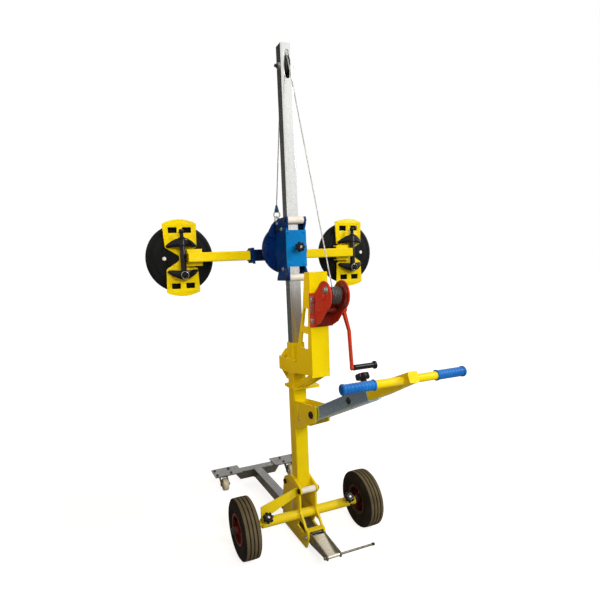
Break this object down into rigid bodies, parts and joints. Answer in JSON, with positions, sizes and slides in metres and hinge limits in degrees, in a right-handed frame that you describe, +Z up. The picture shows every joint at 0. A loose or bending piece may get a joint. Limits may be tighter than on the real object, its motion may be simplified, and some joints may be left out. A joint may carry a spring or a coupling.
{
  "type": "vacuum glass lifter",
  "caption": "Wheeled lifter with mast, hand winch and rope: a turning head with sliding arms carries hand-pumped suction cups for glass panes.",
  "frame": {"origin": "on the floor under the middle of the machine's box", "axes": "+Z up along the mast, +Y forwards towards the suction cups and casters, +X to the right seen from the handle"},
  "size_m": [1.129, 1.4856, 2.079],
  "materials": {
    "yellow_paint": "gloss paint",
    "blue_paint": "gloss paint",
    "red_paint": "gloss paint",
    "rim_paint": "gloss paint",
    "galvanised": "galvanised",
    "zinc": "zinc plated",
    "rope_steel": "wire",
    "hook_paint": "painted",
    "tyre_rubber": "matte",
    "cup_rubber": "matte",
    "black_plastic": "moulded",
    "white_nylon": "moulded",
    "cream_wheel": "moulded",
    "grip_rubber": "ribbed",
    "button_chrome": "polished"
  },
  "bodies": {
    "frame": {"axle_tube": "yellow_paint", "axle_brace": "yellow_paint", "chassis_frame": "yellow_paint", "chassis_spacers": "zinc", "column": "yellow_paint", "base_beam": "galvanised", "cross_tube": "galvanised", "end_plates": "galvanised", "mount_bolts": "zinc", "caster_heads": "galvanised", "pivot_bolts": "zinc", "drawbar_bracket": "yellow_paint", "winch_stand": "yellow_paint", "mast": "galvanised", "rope_run": "rope_steel", "rope_lift": "rope_steel", "winch_frame": "red_paint"},
    "axle_right": {"stub_axle_right": "yellow_paint"},
    "wheel_right": {"wheel_rim_right": "rim_paint", "tyre_right": "tyre_rubber"},
    "axle_clamp_right": {"axle_knob_right": "black_plastic"},
    "caster_right": {"caster_fork_right": "galvanised"},
    "caster_roll_right": {"caster_wheel_right": "cream_wheel"},
    "axle_left": {"stub_axle_left": "yellow_paint"},
    "wheel_left": {"wheel_rim_left": "rim_paint", "tyre_left": "tyre_rubber"},
    "axle_clamp_left": {"axle_knob_left": "black_plastic"},
    "caster_left": {"caster_fork_left": "galvanised"},
    "caster_roll_left": {"caster_wheel_left": "cream_wheel"},
    "pedal": {"pedal_lever": "galvanised", "pedal_bar": "zinc"},
    "drawbar": {"drawbar_tube": "galvanised"},
    "handle": {"handle_tube": "yellow_paint", "handle_grips": "grip_rubber"},
    "drawbar_clamp": {"drawbar_knob": "black_plastic"},
    "carriage": {"carriage_frame": "blue_paint", "roller_bolts": "zinc", "rope_hook": "hook_paint"},
    "rear_roller_upper_body": {"rear_roller_upper": "white_nylon"},
    "rear_roller_lower_body": {"rear_roller_lower": "white_nylon"},
    "front_roller_upper_body": {"front_roller_upper": "white_nylon"},
    "front_roller_lower_body": {"front_roller_lower": "white_nylon"},
    "carriage_clamp": {"carriage_knob": "black_plastic"},
    "pulley": {"top_pulley": "zinc"},
    "drum": {"winch_drum": "red_paint"},
    "crank": {"winch_crank": "red_paint"},
    "crank_handle": {"crank_grip": "black_plastic"},
    "head": {"turning_head": "blue_paint"},
    "arm_right_body": {"arm_right": "yellow_paint", "cup_plate_right": "yellow_paint", "cup_pad_right": "cup_rubber", "cup_pump_right": "black_plastic"},
    "plunger_right": {"cup_plunger_right": "black_plastic"},
    "release_right": {"cup_valve_right": "button_chrome"},
    "arm_left_body": {"arm_left": "yellow_paint", "cup_plate_left": "yellow_paint", "cup_pad_left": "cup_rubber", "cup_pump_left": "black_plastic"},
    "plunger_left": {"cup_plunger_left": "black_plastic"},
    "release_left": {"cup_valve_left": "button_chrome"}
  },
  "joints": [
    {"name": "track_right", "type": "slide", "parent": "frame", "child": "axle_right", "axis": [1, 0, 0], "range_m": [0, 0.06]},
    {"name": "wheel_spin_right", "type": "hinge", "parent": "axle_right", "child": "wheel_right", "pos_m": [0.292, 0.01379, 0.13], "axis": [1, 0, 0], "continuous": true},
    {"name": "axle_knob_turn_right", "type": "hinge", "parent": "frame", "child": "axle_clamp_right", "pos_m": [0.198, 0.01379, 0.13], "axis": [0, -0.7071, 0.7071], "range_deg": [-360, 0]},
    {"name": "caster_swivel_right", "type": "hinge", "parent": "frame", "child": "caster_right", "pos_m": [0.2, 0.68879, 0.06975], "axis": [0, 0, 1], "continuous": true},
    {"name": "caster_spin_right", "type": "hinge", "parent": "caster_right", "child": "caster_roll_right", "pos_m": [0.2, 0.65479, 0.034], "axis": [1, 0, 0], "continuous": true},
    {"name": "track_left", "type": "slide", "parent": "frame", "child": "axle_left", "axis": [-1, 0, 0], "range_m": [0, 0.06]},
    {"name": "wheel_spin_left", "type": "hinge", "parent": "axle_left", "child": "wheel_left", "pos_m": [-0.292, 0.01379, 0.13], "axis": [1, 0, 0], "continuous": true},
    {"name": "axle_knob_turn_left", "type": "hinge", "parent": "frame", "child": "axle_clamp_left", "pos_m": [-0.198, 0.01379, 0.13], "axis": [0, -0.7071, 0.7071], "range_deg": [-360, 0]},
    {"name": "caster_swivel_left", "type": "hinge", "parent": "frame", "child": "caster_left", "pos_m": [-0.2, 0.68879, 0.06975], "axis": [0, 0, 1], "continuous": true},
    {"name": "caster_spin_left", "type": "hinge", "parent": "caster_left", "child": "caster_roll_left", "pos_m": [-0.2, 0.65479, 0.034], "axis": [1, 0, 0], "continuous": true},
    {"name": "pedal_press", "type": "hinge", "parent": "frame", "child": "pedal", "pos_m": [0, -0.06921, 0.062], "axis": [1, 0, 0], "range_deg": [0, 12], "stiffness_Nm_per_rad": 12, "springref_deg": -11.46},
    {"name": "drawbar_tilt", "type": "hinge", "parent": "frame", "child": "drawbar", "pos_m": [0, -0.14221, 0.63], "axis": [1, 0, 0], "range_deg": [0, 30]},
    {"name": "handle_reach", "type": "slide", "parent": "drawbar", "child": "handle", "axis": [0, -0.9107, 0.4131], "range_m": [-0.165, 0.06]},
    {"name": "drawbar_knob_turn", "type": "hinge", "parent": "drawbar", "child": "drawbar_clamp", "pos_m": [0, -0.4992, 0.79194], "axis": [0, 0.4131, 0.9107], "range_deg": [-360, 0]},
    {"name": "lift", "type": "slide", "parent": "frame", "child": "carriage", "axis": [0, 0, 1], "range_m": [-0.25, 0.4], "deforming": ["rope_lift"]},
    {"name": "rear_roller_upper_spin", "type": "hinge", "parent": "carriage", "child": "rear_roller_upper_body", "pos_m": [0, 0.01849, 1.406], "axis": [1, 0, 0], "range_deg": [-1527.89, 954.93]},
    {"name": "rear_roller_lower_spin", "type": "hinge", "parent": "carriage", "child": "rear_roller_lower_body", "pos_m": [0, 0.01849, 1.174], "axis": [1, 0, 0], "range_deg": [-1527.89, 954.93]},
    {"name": "front_roller_upper_spin", "type": "hinge", "parent": "carriage", "child": "front_roller_upper_body", "pos_m": [0, 0.09909, 1.374], "axis": [1, 0, 0], "range_deg": [-954.93, 1527.89]},
    {"name": "front_roller_lower_spin", "type": "hinge", "parent": "carriage", "child": "front_roller_lower_body", "pos_m": [0, 0.09909, 1.21], "axis": [1, 0, 0], "range_deg": [-954.93, 1527.89]},
    {"name": "carriage_knob_turn", "type": "hinge", "parent": "carriage", "child": "carriage_clamp", "pos_m": [-0.002, -0.01921, 1.296], "axis": [0, -1, 0], "range_deg": [-360, 0]},
    {"name": "pulley_spin", "type": "hinge", "parent": "frame", "child": "pulley", "pos_m": [0, 0.05879, 2.002], "axis": [1, 0, 0], "range_deg": [-387.14, 619.42]},
    {"name": "drum_spin", "type": "hinge", "parent": "frame", "child": "drum", "pos_m": [0, -0.26121, 1.108], "axis": [1, 0, 0], "range_deg": [-480.67, 769.08]},
    {"name": "crank_turn", "type": "hinge", "parent": "frame", "child": "crank", "pos_m": [0, -0.22721, 1.0526], "axis": [1, 0, 0], "range_deg": [-2691.75, 1682.35]},
    {"name": "crank_grip_spin", "type": "hinge", "parent": "crank", "child": "crank_handle", "pos_m": [0.115, -0.22721, 0.8206], "axis": [1, 0, 0], "continuous": true},
    {"name": "head_turn", "type": "hinge", "parent": "carriage", "child": "head", "pos_m": [0, 0.12729, 1.296], "axis": [0, 1, 0], "continuous": true},
    {"name": "arm_reach_right", "type": "slide", "parent": "head", "child": "arm_right_body", "axis": [1, 0, 0], "range_m": [-0.045, 0.04]},
    {"name": "plunger_press_right", "type": "slide", "parent": "arm_right_body", "child": "plunger_right", "axis": [0, 0, 1], "range_m": [-0.015, 0], "stiffness_N_per_m": 400, "springref_m": 0.006},
    {"name": "release_press_right", "type": "slide", "parent": "arm_right_body", "child": "release_right", "axis": [0, 1, 0], "range_m": [0, 0.003], "stiffness_N_per_m": 500, "springref_m": -0.002},
    {"name": "arm_reach_left", "type": "slide", "parent": "head", "child": "arm_left_body", "axis": [-1, 0, 0], "range_m": [-0.045, 0.04]},
    {"name": "plunger_press_left", "type": "slide", "parent": "arm_left_body", "child": "plunger_left", "axis": [0, 0, 1], "range_m": [-0.015, 0], "stiffness_N_per_m": 400, "springref_m": 0.006},
    {"name": "release_press_left", "type": "slide", "parent": "arm_left_body", "child": "release_left", "axis": [0, 1, 0], "range_m": [0, 0.003], "stiffness_N_per_m": 500, "springref_m": -0.002}
  ],
  "couplings": [
    {"joint": "rear_roller_upper_spin", "follows": "lift", "rad_per_m": -66.667},
    {"joint": "rear_roller_lower_spin", "follows": "lift", "rad_per_m": -66.667},
    {"joint": "front_roller_upper_spin", "follows": "lift", "rad_per_m": 66.667},
    {"joint": "front_roller_lower_spin", "follows": "lift", "rad_per_m": 66.667},
    {"joint": "pulley_spin", "follows": "lift", "rad_per_m": 27.027},
    {"joint": "drum_spin", "follows": "lift", "rad_per_m": 33.557},
    {"joint": "crank_turn", "follows": "lift", "rad_per_m": -117.45}
  ]
}
